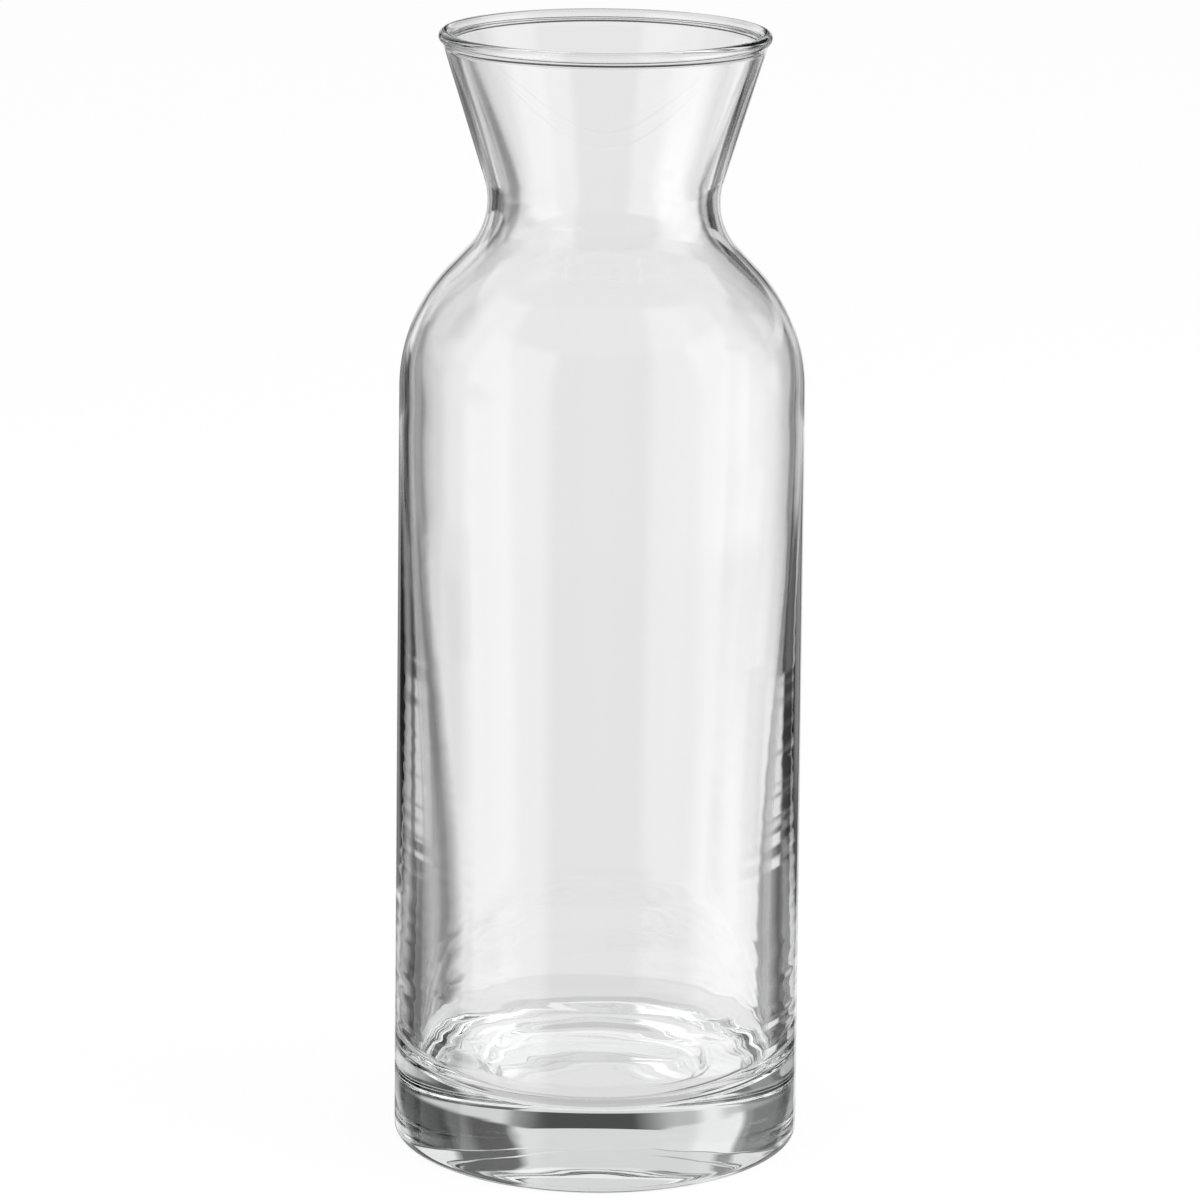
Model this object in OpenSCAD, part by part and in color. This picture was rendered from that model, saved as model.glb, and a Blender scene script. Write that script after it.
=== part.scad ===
// Water carafe, blown in one piece of clear glass.
// The outside and the inside are turned round one upright axis, so the whole
// vessel is one closed outline: foot, straight body, shoulder, narrow waist and
// a flared mouth that ends in a melted bead. The wall grows thick towards the
// solid base, which has a shallow dish on top and a shallow hollow underneath.
// The origin is the middle of the foot, on the table.

/* [Body] */
// Outside diameter at the foot, just above the rounded heel
foot_d = 94.2; // [80:0.1:120]
// Outside diameter where the shoulder starts
body_top_d = 92; // [80:0.1:120]
// Height of the body, from the table to where the shoulder starts
body_h = 176.8; // [140:0.1:240]
// Radius of the heel, the outside corner that meets the table
heel_r = 1.6; // [0.8:0.1:3]

/* [Shoulder and neck] */
// Radius of the round shoulder
shoulder_r = 39; // [30:0.5:44]
// Slope of the run between shoulder and neck, in degrees from upright
shoulder_slope = 43; // [38:1:46]
// Outside diameter at the waist, the narrowest place
waist_d = 52.4; // [46:0.1:58]
// Radius of the hollow curve round the waist
neck_r = 16; // [10:0.5:20]

/* [Mouth] */
// Height of the mouth, from the waist to the top of the rim
mouth_h = 38.3; // [30:0.1:60]
// Outside diameter of the rim
rim_d = 74.6; // [66:0.1:84]
// How far the rim's bead stands out past the outside of the wall
bead_out = 0.5; // [0.1:0.05:1]
// How far the rim's bead stands in past the inside of the wall
bead_in = 0.15; // [0.05:0.05:0.6]

/* [Wall thickness] */
// Thickness of the wall in the lower body
wall_low = 6.1; // [4:0.1:8]
// Thickness of the wall in the upper body
wall_high = 2.1; // [1.6:0.1:3.5]
// Thickness of the wall in the middle of the shoulder
wall_shoulder = 1.8; // [1.4:0.1:3]
// Thickness of the wall at the waist
wall_neck = 3; // [2:0.1:4]
// Thickness of the wall just under the rim's bead
wall_rim = 2.1; // [1.5:0.1:3]
// Height up to which the wall keeps its lower thickness
thick_to_h = 42; // [30:1:60]
// Height from which the wall has its upper thickness
thin_from_h = 168; // [120:1:172]

/* [Base] */
// Thickness of the solid base under the ledge of the inside floor
floor_t = 17.5; // [10:0.5:26]
// Radius of the inside corner between floor and wall
floor_corner_r = 7; // [3:0.5:12]
// Width of the flat ledge between that corner and the dish in the floor
ledge_w = 7; // [3:0.5:12]
// Width of the rounded side of the dish
dish_side = 4; // [2:0.5:8]
// Depth of the dish
dish_h = 2; // [0.5:0.1:4]
// Width of the flat ring that the carafe stands on
ring_w = 3.5; // [2:0.5:10]
// Depth of the hollow under the base
hollow_h = 2.3; // [0.5:0.1:5]
// Diameter of the flat middle of that hollow
hollow_flat_d = 22; // [10:1:40]

/* [Hidden] */
// Steps along a round stretch, along the inside of the body and down the dish
arc_steps = 14;
wall_steps = 24;
dish_steps = 8;
$fn = 96;

foot_r = foot_d / 2;
body_top_r = body_top_d / 2;
waist_r = waist_d / 2;
bead_r = (wall_rim + bead_out + bead_in) / 2;

// The run is the straight slope that is tangent to the shoulder and to the neck
shoulder_centre = [body_top_r - shoulder_r, body_h];
arcs_in = (shoulder_r + neck_r) * (1 - cos(shoulder_slope));
run_l = (body_top_r - waist_r - arcs_in) / sin(shoulder_slope);
waist_h = body_h + (shoulder_r + neck_r) * sin(shoulder_slope) + run_l * cos(shoulder_slope);
neck_centre = [waist_r + neck_r, waist_h];
total_h = waist_h + mouth_h;

// The flare leaves the neck's curve on a tangent that passes the bead's centre
// at such a distance that the bead stands out by bead_out
bead_centre = [rim_d / 2 - bead_r, total_h - bead_r];
bead_off = bead_r - bead_out;
to_bead = bead_centre - neck_centre;
flare_start = atan2(to_bead.y, to_bead.x) + acos((neck_r + bead_off) / norm(to_bead));
flare_lean = 180 - flare_start;

// Wall thickness at heights from the foot up
wall_stations = [
    [thick_to_h, wall_low],
    [thin_from_h, wall_high],
    [body_h + shoulder_r * sin(shoulder_slope / 2), wall_shoulder],
    [waist_h, wall_neck],
    [total_h, wall_rim]
];

// Value between a and b, at the share t
function mix(a, b, t) = a + (b - a) * t;

// Share that starts and ends gently as t goes from 0 to 1
function ease(t) = (1 - cos(180 * t)) / 2;

// Value at height z in a list of [height, value] stations
function at_height(stations, z, i = 0) =
    z <= stations[i][0] || i + 1 == len(stations) ? stations[i][1]
    : z > stations[i + 1][0] ? at_height(stations, z, i + 1)
    : mix(stations[i][1], stations[i + 1][1], ease(share_between(stations[i][0], stations[i + 1][0], z)));

// Share of the way from low to high at which z lies
function share_between(low, high, z) = (z - low) / (high - low);

// Point at distance d from p, in the direction of angle a
function polar(p, d, a) = [p.x + d * cos(a), p.y + d * sin(a)];

// Stations of the outside, each [radius, height, angle of the outward normal]
function bend(centre, r, from, to) = [
    for (i = [0 : arc_steps])
        let (a = mix(from, to, i / arc_steps), p = polar(centre, abs(r), r > 0 ? a : a + 180))
        [p.x, p.y, a]
];
function straight(from, to, lean, steps) = [
    for (i = [0 : steps])
        let (p = mix(from, to, i / steps))
        [p.x, p.y, lean]
];

body_foot = [foot_r, heel_r];
body_top = [body_top_r, body_h];
body_lean = atan2(foot_r - body_top_r, body_h - heel_r);
flare_top = polar(bead_centre, bead_off, -flare_lean);

heel_side = bend([foot_r - heel_r, heel_r], heel_r, -90, 0);
body_side = straight(body_foot, body_top, body_lean, wall_steps);
shoulder_side = bend(shoulder_centre, shoulder_r, 0, shoulder_slope);
neck_side = bend(neck_centre, -neck_r, shoulder_slope, -flare_lean);
flare_side = straight(polar(neck_centre, neck_r, flare_start), flare_top, -flare_lean, arc_steps);
upper_side = concat(shoulder_side, neck_side, flare_side);

// The inside follows the outside at the wall's thickness
function inside_of(side) = [
    for (s = side) polar([s.x, s.y], -at_height(wall_stations, s.y), s[2])
];
function places_of(side) = [for (s = side) [s.x, s.y]];
function reversed(list) = [for (i = [len(list) - 1 : -1 : 0]) list[i]];

// The floor's corner ends where the inside wall starts
corner_top_h = floor_t + floor_corner_r;
corner_share = share_between(heel_r, body_h, corner_top_h);
corner_r = mix(foot_r, body_top_r, corner_share) - at_height(wall_stations, corner_top_h);
corner_centre = [corner_r - floor_corner_r, corner_top_h];
floor_corner = places_of(bend(corner_centre, floor_corner_r, -90, 0));
inside_wall = [for (p = inside_of(body_side)) if (p.y > corner_top_h + heel_r) p];

// The dish in the floor leaves the ledge gently and runs out gently on its flat middle
dish_r = corner_centre.x - ledge_w;
dish_floor = [
    for (i = [0 : dish_steps])
        [dish_r - dish_side * i / dish_steps, floor_t - dish_h * ease(i / dish_steps)]
];

// The hollow under the base slopes from the standing ring up to its flat middle
hollow_r = foot_r - heel_r - ring_w;
underside = [[0, hollow_h], [hollow_flat_d / 2, hollow_h], [hollow_r, 0]];

glass_outline = concat(
    underside,
    places_of(heel_side),
    [body_top],
    places_of(upper_side),
    reversed(inside_of(upper_side)),
    reversed(inside_wall),
    reversed(floor_corner),
    dish_floor,
    [[0, floor_t - dish_h]]
);

module glass_section() {
    polygon(glass_outline);
    translate(bead_centre) circle(r = bead_r);
}

module carafe_glass() {
    color([0.86, 0.91, 0.92, 0.45]) rotate_extrude() glass_section();
}

carafe_glass();
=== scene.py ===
"""Looks of a clear glass water carafe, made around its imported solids."""

import math

import bmesh
import bpy
from mathutils import Matrix, Vector


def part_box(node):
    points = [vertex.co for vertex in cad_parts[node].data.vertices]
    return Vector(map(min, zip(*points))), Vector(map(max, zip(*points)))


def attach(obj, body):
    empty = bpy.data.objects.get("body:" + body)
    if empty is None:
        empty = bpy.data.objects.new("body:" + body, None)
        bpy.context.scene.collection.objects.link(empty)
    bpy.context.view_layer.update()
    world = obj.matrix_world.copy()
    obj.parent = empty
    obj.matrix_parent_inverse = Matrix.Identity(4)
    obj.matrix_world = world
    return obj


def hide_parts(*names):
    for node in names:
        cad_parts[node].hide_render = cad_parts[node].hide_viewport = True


bl_info = {
    "name": "Glass Water Carafe",
    "version": (1, 0, 0),
    "blender": (4, 5, 0),
    "location": "View3D > Sidebar > Carafe",
    "description": "Turns a clear glass carafe and lights it like a product shot",
    "category": "Object",
}

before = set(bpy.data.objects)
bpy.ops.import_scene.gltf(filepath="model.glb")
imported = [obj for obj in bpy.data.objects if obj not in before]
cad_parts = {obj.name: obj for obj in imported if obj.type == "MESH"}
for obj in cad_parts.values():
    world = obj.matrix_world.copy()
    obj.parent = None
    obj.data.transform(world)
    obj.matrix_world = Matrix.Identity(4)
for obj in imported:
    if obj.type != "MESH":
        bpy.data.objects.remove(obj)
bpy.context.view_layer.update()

MM = 0.001
NODE = "carafe_glass"
FAR_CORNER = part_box(NODE)[1]

# Faces along each stretch of the section
HEEL_STEPS = 10
SHOULDER_STEPS = 22
NECK_STEPS = 22
FLARE_STEPS = 12
BEAD_STEPS = 28
CORNER_STEPS = 14
FLOOR_STEPS = 40
UNDER_FLAT_STEPS = 4
UNDER_SLOPE_STEPS = 16
RING_STEPS = 3
# The outside of the body is smooth, so it needs one row where the wavy inside has ten
OUTSIDE_SKIP = 10
# Nearest that two stretches of the section come to each other where one gives way to the next
BEAD_GAP = 0.05 * MM
CORNER_GAP = 0.3 * MM
# Points closer than this are one point, such as those where the turning meets itself
SAME_POINT = 0.002 * MM

# How strong the waves are, as shares of their full height: under the base, at the floor's edge,
# and where the floor's corner meets the wall
UNDER_WAVE = 0.12
FLOOR_WAVE = 0.04
CORNER_WAVE = 0.6
# Up the wall they fade. Each pair is a share of the way from the height where they start to
# fade to the height where they have died out, and how strong they are there.
WAVE_FADE = ((0, 0.35), (0.15, 0.12), (0.5, 0.06), (1, 0))


# Colours and nodes


def linear(hex_colour):
    """The linear colour of an sRGB hex value such as #ffffff."""
    shares = [int(hex_colour[i : i + 2], 16) / 255 for i in (1, 3, 5)]
    return [s / 12.92 if s <= 0.04045 else ((s + 0.055) / 1.055) ** 2.4 for s in shares] + [1]


def add_node(tree, kind, inputs=None, **settings):
    """Adds a node with its settings. Each input takes a value or another node's output."""
    made = tree.nodes.new(kind)
    for name, value in settings.items():
        setattr(made, name, value)
    for key, value in (inputs or {}).items():
        if isinstance(value, bpy.types.NodeSocket):
            tree.links.new(value, made.inputs[key])
        else:
            made.inputs[key].default_value = value
    return made


# The section of the glass, as points of (radius, height, angle of the outward normal)


def mix(a, b, t):
    return a + (b - a) * t


def ease(t):
    return (1 - math.cos(math.pi * min(max(t, 0), 1))) / 2


def at_height(stations, z):
    """The value at height z between (height, value) stations, eased from one to the next."""
    for (low, a), (high, b) in zip(stations, stations[1:]):
        if z <= high:
            return mix(a, b, ease((z - low) / (high - low)))
    return stations[-1][1]


def bend(centre, radius, start, end, steps):
    """A round stretch. A negative radius is a hollow one, whose centre lies outside the glass."""
    angles = [mix(start, end, i / steps) for i in range(steps + 1)]
    return [
        (centre[0] + radius * math.cos(a), centre[1] + radius * math.sin(a), a) for a in angles
    ]


def straight(start, end, lean, steps):
    shares = [i / steps for i in range(steps + 1)]
    return [(mix(start[0], end[0], t), mix(start[1], end[1], t), lean) for t in shares]


def inside_of(side, stations):
    """The inner face of a stretch of wall, at the wall's own thickness."""
    points = []
    for r, z, a in side:
        wall = at_height(stations, z)
        points.append((r - wall * math.cos(a), z - wall * math.sin(a), a))
    return points


def glass_section(size):
    """The closed outline of the glass from the axis under the base round to the axis on the floor.

    Each point is (radius, height, push radius, push height): push is the way, and how far, a
    wave of full height moves the point.
    """
    foot_r, top_r, waist_r = size.foot_d / 2, size.body_top_d / 2, size.waist_d / 2
    slope = size.shoulder_slope
    arcs = size.shoulder_r + size.neck_r
    run = (top_r - waist_r - arcs * (1 - math.cos(slope))) / math.sin(slope)
    waist_h = size.body_h + arcs * math.sin(slope) + run * math.cos(slope)
    neck = (waist_r + size.neck_r, waist_h)
    bead_r = (size.wall_rim + size.bead_out + size.bead_in) / 2
    bead = (size.rim_d / 2 - bead_r, size.total_h - bead_r)
    bead_off = bead_r - size.bead_out
    to_bead = (bead[0] - neck[0], bead[1] - neck[1])
    flare = math.atan2(to_bead[1], to_bead[0])
    flare += math.acos((size.neck_r + bead_off) / math.hypot(*to_bead))
    lean = math.pi - flare
    walls = [
        (size.thick_to_h, size.wall_low),
        (size.thin_from_h, size.wall_high),
        (size.body_h + size.shoulder_r * math.sin(slope / 2), size.wall_shoulder),
        (waist_h, size.wall_neck),
        (size.total_h, size.wall_rim),
    ]

    body_lean = math.atan2(foot_r - top_r, size.body_h - size.heel_r)
    heel = bend((foot_r - size.heel_r, size.heel_r), size.heel_r, -math.pi / 2, 0, HEEL_STEPS)
    shoulder_centre = (top_r - size.shoulder_r, size.body_h)
    shoulder = bend(shoulder_centre, size.shoulder_r, 0, slope, SHOULDER_STEPS)
    hollow = bend(neck, -size.neck_r, slope, -lean, NECK_STEPS)
    flare_start = hollow[-1][:2]
    flare_end = (bead[0] + bead_off * math.cos(lean), bead[1] - bead_off * math.sin(lean))
    flare_side = straight(flare_start, flare_end, -lean, FLARE_STEPS)
    upper = shoulder + hollow[:-1] + flare_side

    # The bead runs from where the flare's outside meets it to where the inside does
    bead_in_off = size.wall_rim - bead_off
    meet_out = -lean - math.acos(bead_off / bead_r)
    meet_in = math.pi - lean + math.acos(bead_in_off / bead_r)
    rim = bend(bead, bead_r, meet_out, meet_in, BEAD_STEPS)
    outer_flare = [p for p in upper if p[1] < rim[0][1] - BEAD_GAP]
    inner_upper = [p for p in inside_of(upper, walls) if p[1] < rim[-1][1] - BEAD_GAP]

    corner_top = size.floor_t + size.floor_corner_r
    share = (corner_top - size.heel_r) / (size.body_h - size.heel_r)
    corner_r = mix(foot_r, top_r, share) - size.wall_low
    floor_r = corner_r - size.floor_corner_r
    corner = bend((floor_r, corner_top), size.floor_corner_r, -math.pi / 2, 0, CORNER_STEPS)
    body = straight((foot_r, size.heel_r), (top_r, size.body_h), body_lean, size.wall_rows)
    inner_body = [p for p in inside_of(body, walls) if p[1] > corner_top + CORNER_GAP][:-1]

    # The hollow under the base slopes from the standing ring up to its flat middle
    hollow_r = foot_r - size.heel_r - size.ring_w
    hollow_flat_r = size.hollow_flat_d / 2
    hollow_edge = (hollow_flat_r, size.hollow_h)
    underside = straight((0, size.hollow_h), hollow_edge, 0, UNDER_FLAT_STEPS)
    underside += straight(hollow_edge, (hollow_r, 0), 0, UNDER_SLOPE_STEPS)[1:]
    ring = straight((hollow_r, 0), (foot_r - size.heel_r, 0), 0, RING_STEPS)[1:-1]

    outside = [
        (r, z, 0, UNDER_WAVE * math.sin(math.pi * r / hollow_r) ** 2) for r, z, _ in underside
    ]
    smooth = ring + heel + body[1:-1:OUTSIDE_SKIP] + outer_flare + rim + inner_upper[::-1]
    outside += [(r, z, 0, 0) for r, z, _ in smooth]
    waves = [(corner_top, CORNER_WAVE)] + [
        (mix(size.wave_from_h, size.wave_to_h, way), share) for way, share in WAVE_FADE
    ]
    wavy = []
    for r, z, a in inner_body[::-1]:
        push = at_height(waves, z)
        wavy.append((r, z, -push * math.cos(a), -push * math.sin(a)))
    # Down the corner the waves fade from the wall's to the floor's
    for r, z, a in corner[::-1]:
        push = mix(FLOOR_WAVE, CORNER_WAVE, (a / (math.pi / 2) + 1) ** 3)
        wavy.append((r, z, -push * math.cos(a), -push * math.sin(a)))
    dish_r = floor_r - size.ledge_w
    for i in range(FLOOR_STEPS - 1, -1, -1):
        r = floor_r * i / FLOOR_STEPS
        dish = ease((dish_r - r) / size.dish_side) * size.dish_h
        wavy.append((r, size.floor_t - dish, 0, FLOOR_WAVE * (r / floor_r) ** 2))
    return outside + wavy


def section_mesh(points):
    """The section as a chain of edges, with each point's push as an attribute."""
    mesh = bpy.data.meshes.new("glass section")
    mesh.from_pydata(
        [(r, 0, z) for r, z, _, _ in points], [(i, i + 1) for i in range(len(points) - 1)], []
    )
    push = mesh.attributes.new("push", "FLOAT_VECTOR", "POINT")
    for i, (_, _, across, up) in enumerate(points):
        push.data[i].vector = (across, 0, up)
    return mesh


# The turning, as Geometry Nodes


def turned_glass_tree():
    """Turns a section round the Z axis, with long flat waves where the section has a push."""
    tree = bpy.data.node_groups.new("Turned glass", "GeometryNodeTree")
    sockets = tree.interface
    sockets.new_socket("Section", in_out="INPUT", socket_type="NodeSocketGeometry")
    for name, kind, default in (
        ("Segments", "NodeSocketInt", 256),
        ("Wave height", "NodeSocketFloat", 0.05 * MM),
        ("Wave spacing up", "NodeSocketFloat", 4 * MM),
        ("Wave length around", "NodeSocketFloat", 60 * MM),
        ("Seed", "NodeSocketInt", 3),
        ("Glass", "NodeSocketMaterial", None),
    ):
        made = sockets.new_socket(name, in_out="INPUT", socket_type=kind)
        if default is not None:
            made.default_value = default
    sockets.new_socket("Glass body", in_out="OUTPUT", socket_type="NodeSocketGeometry")

    def maths(operation, a, b=0.0):
        return add_node(tree, "ShaderNodeMath", {0: a, 1: b}, operation=operation).outputs[0]

    given = add_node(tree, "NodeGroupInput").outputs
    size = add_node(tree, "GeometryNodeAttributeDomainSize", {"Geometry": given["Section"]})
    points = size.outputs["Point Count"]
    columns = maths("ADD", given["Segments"], 1)
    grid = add_node(
        tree,
        "GeometryNodeMeshGrid",
        {"Size X": 1, "Size Y": 1, "Vertices X": columns, "Vertices Y": points},
    )
    index = add_node(tree, "GeometryNodeInputIndex").outputs[0]
    row = maths("MODULO", index, points)
    column = maths("FLOOR", maths("DIVIDE", maths("ADD", index, 0.5), points))
    turn = maths("MULTIPLY", maths("DIVIDE", column, given["Segments"]), 2 * math.pi)
    across, around = maths("COSINE", turn), maths("SINE", turn)

    def of_section(value):
        return add_node(
            tree,
            "GeometryNodeSampleIndex",
            {"Geometry": given["Section"], "Value": value, "Index": row},
            data_type="FLOAT_VECTOR",
            domain="POINT",
        ).outputs["Value"]

    def turned(value):
        part = add_node(tree, "ShaderNodeSeparateXYZ", {0: value}).outputs
        x, y = maths("MULTIPLY", part["X"], across), maths("MULTIPLY", part["X"], around)
        return add_node(tree, "ShaderNodeCombineXYZ", {"X": x, "Y": y, "Z": part["Z"]}).outputs[0]

    place = turned(of_section(add_node(tree, "GeometryNodeInputPosition").outputs[0]))
    named = add_node(
        tree, "GeometryNodeInputNamedAttribute", {"Name": "push"}, data_type="FLOAT_VECTOR"
    )
    push = turned(of_section(named.outputs["Attribute"]))

    # The waves are long around the body and short up it, as a blown wall has them
    part = add_node(tree, "ShaderNodeSeparateXYZ", {0: place}).outputs
    reach = maths("SQRT", maths("ADD", maths("POWER", part["X"], 2), maths("POWER", part["Y"], 2)))
    long_x = maths("DIVIDE", part["X"], given["Wave length around"])
    long_y = maths("DIVIDE", part["Y"], given["Wave length around"])
    short_z = maths("DIVIDE", maths("ADD", part["Z"], reach), given["Wave spacing up"])
    where = add_node(tree, "ShaderNodeCombineXYZ", {"X": long_x, "Y": long_y, "Z": short_z})
    noise = add_node(
        tree,
        "ShaderNodeTexNoise",
        {"Vector": where.outputs[0], "W": given["Seed"], "Scale": 1, "Detail": 1, "Roughness": 0.3},
        noise_dimensions="4D",
    )
    swing = maths("MULTIPLY", maths("SUBTRACT", noise.outputs["Fac"], 0.5), 2)
    lift = maths("MULTIPLY", swing, given["Wave height"])
    moved = add_node(
        tree, "ShaderNodeVectorMath", {0: push, "Scale": lift}, operation="SCALE"
    ).outputs[0]
    at = add_node(tree, "ShaderNodeVectorMath", {0: place, 1: moved}, operation="ADD").outputs[0]

    body = add_node(
        tree, "GeometryNodeSetPosition", {"Geometry": grid.outputs["Mesh"], "Position": at}
    ).outputs[0]
    body = add_node(
        tree, "GeometryNodeMergeByDistance", {"Geometry": body, "Distance": SAME_POINT}
    ).outputs[0]
    body = add_node(tree, "GeometryNodeSetShadeSmooth", {"Geometry": body}).outputs[0]
    body = add_node(tree, "GeometryNodeRealizeInstances", {"Geometry": body}).outputs[0]
    body = add_node(
        tree, "GeometryNodeSetMaterial", {"Geometry": body, "Material": given["Glass"]}
    ).outputs[0]
    add_node(tree, "NodeGroupOutput", {"Glass body": body})
    return tree


def plain_mesh(source, tree, values, name):
    """Runs the tree on the source's mesh and returns the result as one plain object."""
    run = source.modifiers.new("Turned glass", "NODES")
    run.node_group = tree
    ids = {item.name: item.identifier for item in tree.interface.items_tree}
    for key, value in values.items():
        run[ids[key]] = value
    graph = bpy.context.evaluated_depsgraph_get()
    mesh = bpy.data.meshes.new_from_object(source.evaluated_get(graph))
    source.modifiers.remove(run)
    mesh.name = name
    piece = bpy.data.objects.new(name, mesh)
    bpy.context.collection.objects.link(piece)
    return piece


def outward(mesh):
    """Turns the faces of a closed mesh outwards."""
    work = bmesh.new()
    work.from_mesh(mesh)
    bmesh.ops.recalc_face_normals(work, faces=work.faces)
    if work.calc_volume(signed=True) < 0:
        bmesh.ops.reverse_faces(work, faces=work.faces)
    work.to_mesh(mesh)
    work.free()


# The glass


def soda_lime_glass(look):
    """Clear soda-lime glass, blown and fire-polished: mirror-smooth, with a faint cool depth."""
    material = bpy.data.materials.new("fire_polished_soda_lime_glass")
    material.use_nodes = True
    tree = material.node_tree
    tree.nodes.clear()
    where = add_node(tree, "ShaderNodeTexCoord").outputs["Object"]

    # Chill marks: the mould leaves ripples about 9 mm apart, a few thousandths of a millimetre
    # high. They give the eye slightly unsteady edges where the panels are seen in the glass.
    ripple = add_node(
        tree,
        "ShaderNodeTexNoise",
        {"Vector": where, "Scale": 1 / look.ripple_spacing, "Detail": 1, "Roughness": 0.4},
    )
    chilled = add_node(
        tree,
        "ShaderNodeBump",
        {"Height": ripple.outputs["Fac"], "Strength": 1, "Distance": look.ripple_height},
    )
    shader = add_node(
        tree,
        "ShaderNodeBsdfPrincipled",
        {
            "Base Color": linear("#ffffff"),
            "Roughness": 0,
            "IOR": look.ior,
            "Transmission Weight": 1,
            "Normal": chilled.outputs["Normal"],
        },
    )
    depth = add_node(
        tree,
        "ShaderNodeVolumeAbsorption",
        {"Color": look.depth_colour[:] + (1,), "Density": look.depth_density},
    )
    add_node(
        tree,
        "ShaderNodeOutputMaterial",
        {"Surface": shader.outputs[0], "Volume": depth.outputs[0]},
    )
    return material


# The stage

# Panels all round the glass: start and end in degrees from straight behind, to the right, and
# brightness. A brightness of 1 is white. From one panel to the next it changes evenly.
# The room on the camera's side and the brighter part of each softbox are the same at every
# height. The left softbox's dimmer part, 1.3, is the first panel of most rings.
LEFT_PANELS = (
    (-180, -154, 0.75),
    (-146, -126, 1.65),
)
RIGHT_PANELS = (
    (90, 118, 1.55),
    (126, 180, 0.76),
)
# More than 21 degrees down, seen by way of the waves and of the foot
TABLE_PANELS = (
    (-112, -99, 1.3),
    (-92, -76, 0.6),
    (-68, -58, 0.15),
    (-54, -38, 0.72),
    (-35, -31, 0.2),
    (-28, 14, 0.72),
    (17, 34, 0.05),
    (38, 60, 0.9),
    (66, 74, 0.1),
)
# 16 to 21 degrees down, seen through the lower body's wall
BODY_PANELS = (
    (-112, -99, 1.3),
    (-96, -86, 0.1),
    (-78, -62, 0.55),
    (-60, -55, 0.05),
    (-52, -40, 0.2),
    (-37, -24, 0.05),
    (-18, -13, 0.43),
    (-11, -9, 0.2),
    (-7.5, 3, 0.79),
    (6, 13, 0.92),
    (14, 22, 0.2),
    (27, 40, 0.06),
)
# 6 to 16 degrees down, seen through the neck and the upper body
NECK_PANELS = (
    (-112, -99, 1.3),
    (-93, -80, 0.65),
    (-76, -56, 0.05),
    (-52, -40, 0.2),
    (-37, -24, 0.05),
    (-20, -15, 0.5),
    (-12, -10, 0.28),
    (-8, 2.5, 0.8),
    (5, 13.5, 0.95),
    (16, 18, 0.25),
    (21, 29, 0.6),
    (33, 48, 0.06),
)
# From 6 degrees down to 4 degrees up, seen by way of the waves in the wall
LEVEL_PANELS = (
    (-102, -80, 0.72),
    (-74, -58, 0.08),
    (-54, -39, 0.3),
    (-36, -33, 0.2),
    (-31, -23, 0.9),
    (-20, -17, 0.1),
    (-12, 12, 0.82),
    (16, 18, 0.15),
    (21, 27, 0.7),
    (31, 56, 0.05),
    (62, 75, 0.9),
)
# 4 to 11 degrees up, a dark belt behind, seen by way of the slope under the base
BELT_PANELS = (
    (-112, -99, 1.3),
    (-94, -84, 0.6),
    (-76, -70, 0.4),
    (-60, -36, 0.3),
    (-32, -29, 0.55),
    (-26, -23, 0.85),
    (-20, -15, 0.5),
    (-7, 10, 0.02),
    (14, 15, 0.2),
    (18, 46, 0.65),
    (52, 64, 0.3),
)
# 11 to 37 degrees up, the backdrop, seen by way of the flat of the base
HIGH_PANELS = (
    (-112, -99, 1.3),
    (-94, -84, 0.8),
    (-76, -70, 0.4),
    (-66, -57, 0.04),
    (-53, -40, 0.1),
    (-38, -36, 0.2),
    (-34, -22, 0.85),
    (-20, 14, 0.74),
    (17, 26, 0.02),
    (29, 34, 0.14),
    (37, 66, 0.02),
)
BRIGHTEST = max(bright for _, _, bright in LEFT_PANELS + RIGHT_PANELS)

# The rings above the table's, from the lowest up: where each starts, in degrees above level,
# how many degrees that step takes, and its panels
RINGS = (
    (-21.5, 1, BODY_PANELS),
    (-16, 1.5, NECK_PANELS),
    (-6, 2, LEVEL_PANELS),
    (4.5, 1.5, BELT_PANELS),
    (11, 2, HIGH_PANELS),
)
# Where the plain white overhead starts, and where the plain grey underneath ends
OVERHEAD = (37, 3)
UNDERNEATH = (-52, 6)

# Within this many degrees of straight behind, the body's panels lean. At the low elevation they
# stand at their azimuths divided by this share, and at the high one at their own azimuths.
LEAN_WITHIN = 40
LEAN_LOW, LEAN_HIGH = -18, -12
LEAN_SHARE = 0.7

# Sizes of the softboxes and of the table, in metres
BOX_DISTANCE = 1.1
BOX_HEIGHT = 1.7
BOX_MIDDLE_H = 0.35
TABLE_SIDE = 6

# The base and the rim turn a ray inside the glass many times before it leaves
RAY_BOUNCES = 20
# The photograph's camera: lens and sensor in mm, nearest and furthest sight and place in metres,
# and turns in degrees
CAMERA_LENS, CAMERA_SENSOR = 156.5, 36
CAMERA_NEAR, CAMERA_FAR = 0.05, 20
CAMERA_PLACE = (0, -1.1583, 0.4196)
CAMERA_TILT, CAMERA_ROLL = 14.178, 0.58


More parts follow.
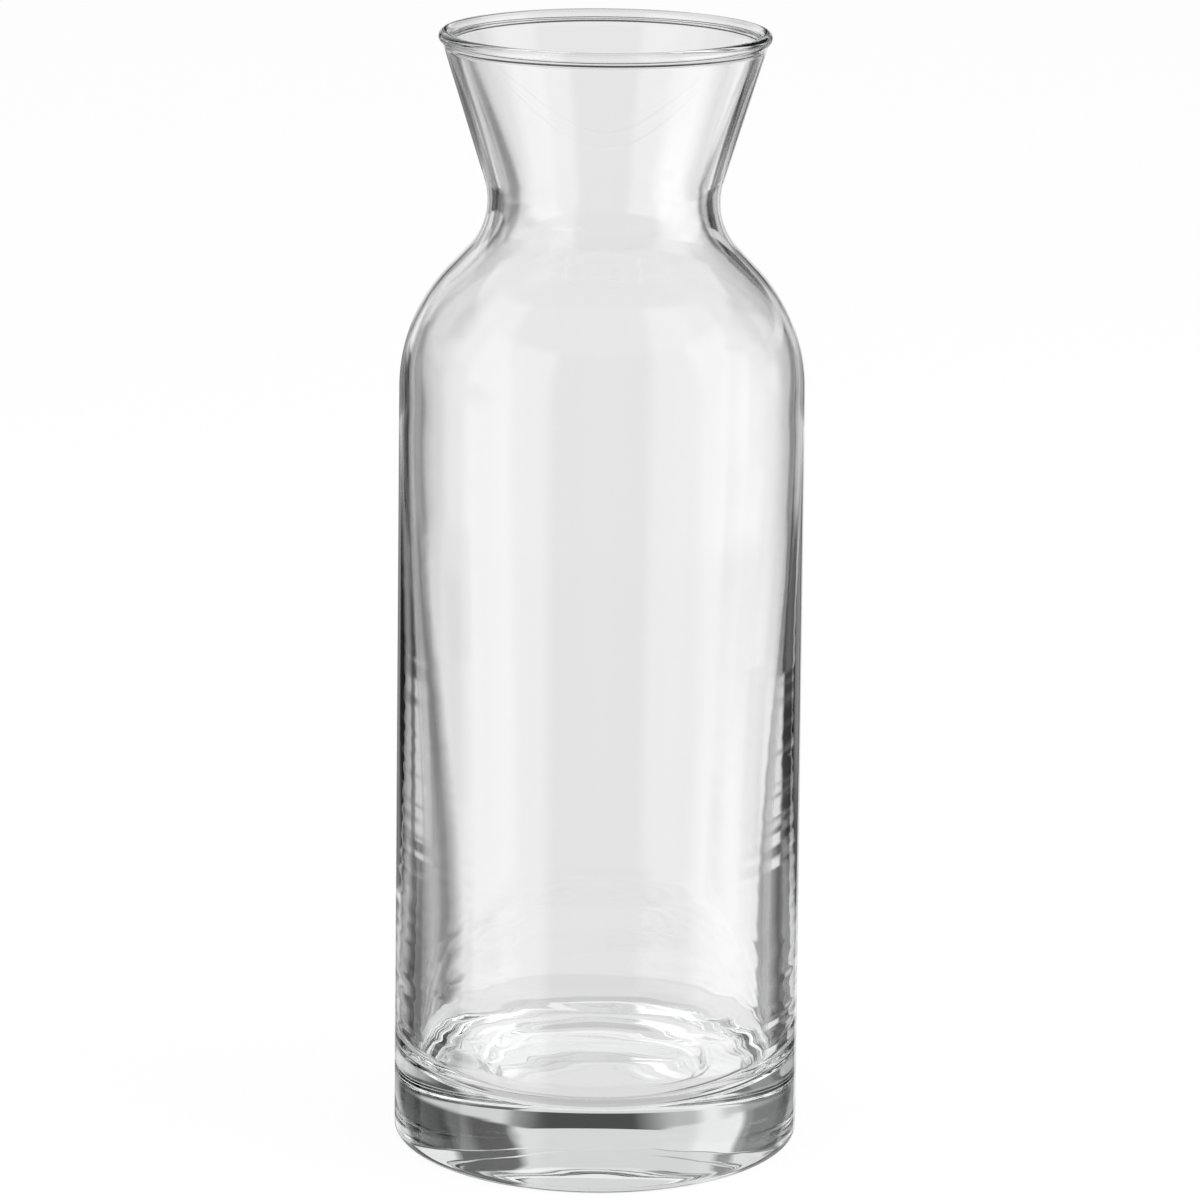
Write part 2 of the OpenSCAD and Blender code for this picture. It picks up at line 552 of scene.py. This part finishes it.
def studio_world(light):
    """A white studio. The glass sees pale panels with dark gaps between them, all round it.

    The world, and not lamps or boards, holds the panels, so that the glass shows them and the
    table and the camera don't.
    """
    world = bpy.data.worlds.new("studio")
    bpy.context.scene.world = world
    world.use_nodes = True
    tree = world.node_tree
    tree.nodes.clear()

    def maths(operation, a, b=0.0, c=0.0):
        return add_node(tree, "ShaderNodeMath", {0: a, 1: b, 2: c}, operation=operation).outputs[0]

    way = add_node(tree, "ShaderNodeTexCoord").outputs["Generated"]
    part = add_node(tree, "ShaderNodeSeparateXYZ", {0: way}).outputs
    round_share = maths("MULTIPLY_ADD", maths("ARCTAN2", part["X"], part["Y"]), 0.5 / math.pi, 0.5)
    up_angle = maths("ARCSINE", part["Z"])

    # The gaps behind the body lean, so that they are further apart the lower one looks
    lean = add_node(
        tree,
        "ShaderNodeMapRange",
        {
            "Value": up_angle,
            "From Min": math.radians(LEAN_LOW),
            "From Max": math.radians(LEAN_HIGH),
            "To Min": LEAN_SHARE,
            "To Max": 1.0,
        },
    ).outputs[0]
    from_behind = maths("SUBTRACT", round_share, 0.5)
    leaning_share = maths("MULTIPLY_ADD", from_behind, lean, 0.5)
    behind = maths("LESS_THAN", maths("ABSOLUTE", from_behind), LEAN_WITHIN / 360)
    leaning_share = step_mix(tree, behind, round_share, leaning_share)

    def ring(panels):
        share = leaning_share if panels is BODY_PANELS else round_share
        ramp = add_node(tree, "ShaderNodeValToRGB", {"Fac": share})
        fill_ramp(ramp.color_ramp, LEFT_PANELS + panels + RIGHT_PANELS)
        return maths("MULTIPLY", ramp.outputs["Color"], BRIGHTEST)

    def above(degrees, softness):
        start, end = math.radians(degrees - softness / 2), math.radians(degrees + softness / 2)
        return add_node(
            tree,
            "ShaderNodeMapRange",
            {"Value": up_angle, "From Min": start, "From Max": end},
            interpolation_type="SMOOTHSTEP",
        ).outputs[0]

    seen = ring(TABLE_PANELS)
    for start, softness, panels in RINGS:
        seen = step_mix(tree, above(start, softness), seen, ring(panels))
    seen = step_mix(tree, above(*OVERHEAD), seen, light.top_strength)
    seen = step_mix(tree, above(*UNDERNEATH), light.under_strength, seen)

    ray = add_node(tree, "ShaderNodeLightPath").outputs
    seen_in_glass = maths("MAXIMUM", ray["Is Glossy Ray"], ray["Is Transmission Ray"])
    strength = step_mix(tree, seen_in_glass, light.room_strength, seen)
    strength = step_mix(tree, ray["Is Camera Ray"], strength, 1.0)
    shine = add_node(
        tree, "ShaderNodeBackground", {"Color": linear("#ffffff"), "Strength": strength}
    )
    add_node(tree, "ShaderNodeOutputWorld", {"Surface": shine.outputs[0]})


def fill_ramp(ramp, panels):
    """Puts the panels on a ramp that goes once round, as shares of the brightest one."""
    stops = []
    for start, end, bright in panels:
        share = bright / BRIGHTEST
        stops += [(start / 360 + 0.5, share), (end / 360 + 0.5, share)]
    while len(ramp.elements) < len(stops):
        ramp.elements.new(1.0)
    for element, (place, share) in zip(ramp.elements, stops):
        element.position = place
        element.color = (share, share, share, 1)


def step_mix(tree, share, low, high):
    """A number between low and high, by a share from another node."""
    return add_node(
        tree, "ShaderNodeMix", {"Factor": share, "A": low, "B": high}, data_type="FLOAT"
    ).outputs[0]


def soft_box(name, azimuth, width, radiance):
    """A softbox at an azimuth from straight behind, facing the carafe.

    It lights the table. The glass shows the world's panels in its place.
    """
    data = bpy.data.lights.new(name, "AREA")
    data.shape = "RECTANGLE"
    data.size, data.size_y = width, BOX_HEIGHT
    data.energy = radiance * math.pi * width * BOX_HEIGHT
    lamp = bpy.data.objects.new(name, data)
    bpy.context.collection.objects.link(lamp)
    turn = math.radians(azimuth)
    lamp.location = (BOX_DISTANCE * math.sin(turn), BOX_DISTANCE * math.cos(turn), BOX_MIDDLE_H)
    facing = Vector((-math.sin(turn), -math.cos(turn), 0))
    lamp.rotation_euler = facing.to_track_quat("-Z", "Y").to_euler()
    lamp.visible_camera = False
    lamp.visible_glossy = False
    lamp.visible_transmission = False


def pale_table(light):
    """The pale tabletop. The camera sees it as white paper that keeps the object's shadow."""
    bpy.ops.mesh.primitive_plane_add(size=TABLE_SIDE)
    table = bpy.context.object
    table.name = "tabletop"
    material = bpy.data.materials.new("white_card")
    material.use_nodes = True
    tree = material.node_tree
    tree.nodes.clear()
    ray = add_node(tree, "ShaderNodeLightPath").outputs
    paper = add_node(tree, "ShaderNodeBsdfDiffuse", {"Color": linear("#f4f4f4")})
    glow = add_node(tree, "ShaderNodeEmission", {"Color": linear("#ffffff"), "Strength": 1.0})
    share = add_node(
        tree, "ShaderNodeMath", {0: ray["Is Camera Ray"], 1: light.table_glow}, operation="MULTIPLY"
    )
    both = add_node(
        tree, "ShaderNodeMixShader", {0: share.outputs[0], 1: paper.outputs[0], 2: glow.outputs[0]}
    )
    add_node(tree, "ShaderNodeOutputMaterial", {"Surface": both.outputs[0]})
    table.data.materials.append(material)
    table.visible_glossy = False
    table.visible_transmission = False


# What a user can change


def length(name, text, value, low, high):
    return bpy.props.FloatProperty(
        name=name,
        description=text,
        default=value * MM,
        min=low * MM,
        max=high * MM,
        unit="LENGTH",
        precision=4,
    )


def number(name, text, value, low=0.0, high=10.0):
    return bpy.props.FloatProperty(name=name, description=text, default=value, min=low, max=high)


class CarafeSizes(bpy.types.PropertyGroup):
    """Sizes of the glass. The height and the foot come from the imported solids."""

    total_h: length("Height", "Height to the top of the rim", FAR_CORNER.z / MM, 150, 400)
    foot_d: length("Foot", "Outside diameter at the foot", 2 * FAR_CORNER.y / MM, 60, 160)
    body_top_d: length("Body top", "Outside diameter under the shoulder", 92, 60, 160)
    body_h: length("Body height", "Height to where the shoulder starts", 176.8, 100, 300)
    heel_r: length("Heel", "Radius of the heel", 1.6, 0.5, 5)
    shoulder_r: length("Shoulder", "Radius of the shoulder", 39, 20, 60)
    shoulder_slope: bpy.props.FloatProperty(
        name="Slope",
        description="Slope between shoulder and neck, from upright",
        default=math.radians(43),
        subtype="ANGLE",
    )
    waist_d: length("Waist", "Outside diameter at the waist", 52.4, 30, 80)
    neck_r: length("Neck", "Radius of the hollow round the waist", 16, 5, 30)
    rim_d: length("Rim", "Outside diameter of the rim", 74.6, 50, 120)
    bead_out: length("Bead out", "How far the bead stands out", 0.5, 0.05, 2)
    bead_in: length("Bead in", "How far the bead stands in", 0.15, 0.02, 1)
    wall_low: length("Lower wall", "Wall thickness in the lower body", 6.1, 2, 12)
    wall_high: length("Upper wall", "Wall thickness in the upper body", 2.1, 1, 6)
    wall_shoulder: length("Shoulder wall", "Wall thickness in the shoulder", 1.8, 1, 6)
    wall_neck: length("Neck wall", "Wall thickness at the waist", 3, 1, 6)
    wall_rim: length("Rim wall", "Wall thickness under the bead", 2.1, 1, 6)
    thick_to_h: length("Thick to", "Height up to which the wall is thick", 42, 20, 120)
    thin_from_h: length("Thin from", "Height from which the wall is thin", 168, 60, 200)
    floor_t: length("Base", "Thickness of the solid base", 17.5, 5, 40)
    floor_corner_r: length("Floor corner", "Radius of the inside corner", 7, 2, 15)
    ring_w: length("Ring", "Width of the standing ring", 3.5, 2, 20)
    hollow_h: length("Hollow", "Depth of the hollow under the base", 2.3, 0.2, 10)
    hollow_flat_d: length("Hollow flat", "Diameter of the flat middle of the hollow", 22, 2, 60)
    ledge_w: length("Ledge", "Width of the flat ledge round the dish in the floor", 7, 2, 20)
    dish_side: length("Dish side", "Width of the rounded side of the dish", 4, 1, 15)
    dish_h: length("Dish", "Depth of the dish", 2, 0, 5)
    wave_from_h: length("Waves fade", "Height from which the waves fade", 38, 20, 200)
    wave_to_h: length("Waves end", "Height where the waves have died out", 168, 20, 200)
    wave_height: length("Wave height", "Full height of the waves of the inside", 0.28, 0, 1)
    wave_up: length("Wave spacing", "Spacing of the waves up the wall", 3.4, 1, 30)
    wave_around: length("Wave length", "Length of the waves round the wall", 40, 5, 300)
    wall_rows: bpy.props.IntProperty(
        name="Rows", description="Rows of faces up the inside of the body", default=240, min=20
    )
    segments: bpy.props.IntProperty(
        name="Segments", description="Faces round the glass", default=200, min=24
    )


class CarafeGlassLook(bpy.types.PropertyGroup):
    """Finish of the glass."""

    ior: number("IOR", "Index of refraction of soda-lime glass", 1.52, 1.3, 2)
    ripple_spacing: length("Ripples", "Spacing of the mould's ripples", 9, 0.1, 20)
    ripple_height: length("Ripple height", "Height of the mould's ripples", 0.002, 0, 0.1)
    depth_colour: bpy.props.FloatVectorProperty(
        name="Depth colour",
        description="What is left of white light in the depth of the glass",
        default=linear("#dfe4e1")[:3],
        subtype="COLOR",
        min=0,
        max=1,
    )
    depth_density: number("Depth density", "How quickly the glass takes light, per metre", 4, 0, 50)


class CarafeStudioLight(bpy.types.PropertyGroup):
    """Light of the studio."""

    top_strength: number("Top", "Brightness overhead, seen in the glass", 0.95)
    under_strength: number("Under", "Brightness below the table, seen in the glass", 0.55)
    room_strength: number("Room", "Brightness that lights the table", 0.8)
    box_left: number("Left softbox", "Radiance of the softbox on the left", 3.0)
    box_right: number("Right softbox", "Radiance of the softbox on the right", 3.5)
    table_glow: number("Table white", "Share of plain white in the table as seen", 0.92, 0, 1)


# Operators


class CARAFE_OT_glass(bpy.types.Operator):
    """Turn the glass and put it in place of the plain solid"""

    bl_idname = "carafe.glass"
    bl_label = "Glass"

    def execute(self, context):
        size, look = context.scene.carafe_sizes, context.scene.carafe_look
        section = bpy.data.objects.new("glass section", section_mesh(glass_section(size)))
        context.collection.objects.link(section)
        values = {
            "Segments": size.segments,
            "Wave height": size.wave_height,
            "Wave spacing up": size.wave_up,
            "Wave length around": size.wave_around,
            "Glass": soda_lime_glass(look),
        }
        piece = plain_mesh(section, turned_glass_tree(), values, "clear_glass_vessel")
        bpy.data.objects.remove(section)
        outward(piece.data)
        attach(piece, "root")
        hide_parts(NODE)
        return {"FINISHED"}


class CARAFE_OT_studio(bpy.types.Operator):
    """Set up the table, the light and the camera"""

    bl_idname = "carafe.studio"
    bl_label = "Studio"

    def execute(self, context):
        light = context.scene.carafe_light
        context.scene.view_settings.view_transform = "Standard"
        context.scene.cycles.max_bounces = RAY_BOUNCES
        context.scene.cycles.transmission_bounces = RAY_BOUNCES
        context.scene.cycles.glossy_bounces = RAY_BOUNCES
        studio_world(light)
        pale_table(light)
        soft_box("softbox_left", azimuth=-123, width=0.94, radiance=light.box_left)
        soft_box("softbox_right", azimuth=105.5, width=1.52, radiance=light.box_right)
        self.camera(context)
        return {"FINISHED"}

    def camera(self, context):
        """The camera stands where the photograph's stood, and is turned as slightly as it was."""
        data = bpy.data.cameras.new("camera")
        data.lens, data.sensor_width = CAMERA_LENS, CAMERA_SENSOR
        data.clip_start, data.clip_end = CAMERA_NEAR, CAMERA_FAR
        camera = bpy.data.objects.new("camera", data)
        context.collection.objects.link(camera)
        camera.location = CAMERA_PLACE
        tip = Matrix.Rotation(math.radians(90 - CAMERA_TILT), 3, "X")
        roll = Matrix.Rotation(math.radians(CAMERA_ROLL), 3, "Z")
        camera.rotation_euler = (tip @ roll).to_euler()
        context.scene.camera = camera


class CARAFE_PT_panel(bpy.types.Panel):
    """Lists the steps and what can be changed"""

    bl_idname = "CARAFE_PT_panel"
    bl_label = "Carafe"
    bl_space_type = "VIEW_3D"
    bl_region_type = "UI"
    bl_category = "Carafe"

    def draw(self, context):
        for operator in OPERATORS:
            self.layout.operator(operator.bl_idname)
        for name in GROUPS:
            box = self.layout.box()
            for key in getattr(context.scene, name).__annotations__:
                box.prop(getattr(context.scene, name), key)


OPERATORS = (CARAFE_OT_glass, CARAFE_OT_studio)
GROUPS = {
    "carafe_sizes": CarafeSizes,
    "carafe_look": CarafeGlassLook,
    "carafe_light": CarafeStudioLight,
}


def register():
    for kind in (*GROUPS.values(), *OPERATORS, CARAFE_PT_panel):
        bpy.utils.register_class(kind)
    for name, group in GROUPS.items():
        setattr(bpy.types.Scene, name, bpy.props.PointerProperty(type=group))


def unregister():
    for name in GROUPS:
        delattr(bpy.types.Scene, name)
    for kind in (CARAFE_PT_panel, *OPERATORS, *GROUPS.values()):
        bpy.utils.unregister_class(kind)


def main():
    register()
    bpy.ops.carafe.glass()
    bpy.ops.carafe.studio()


if __name__ == "__main__":
    main()
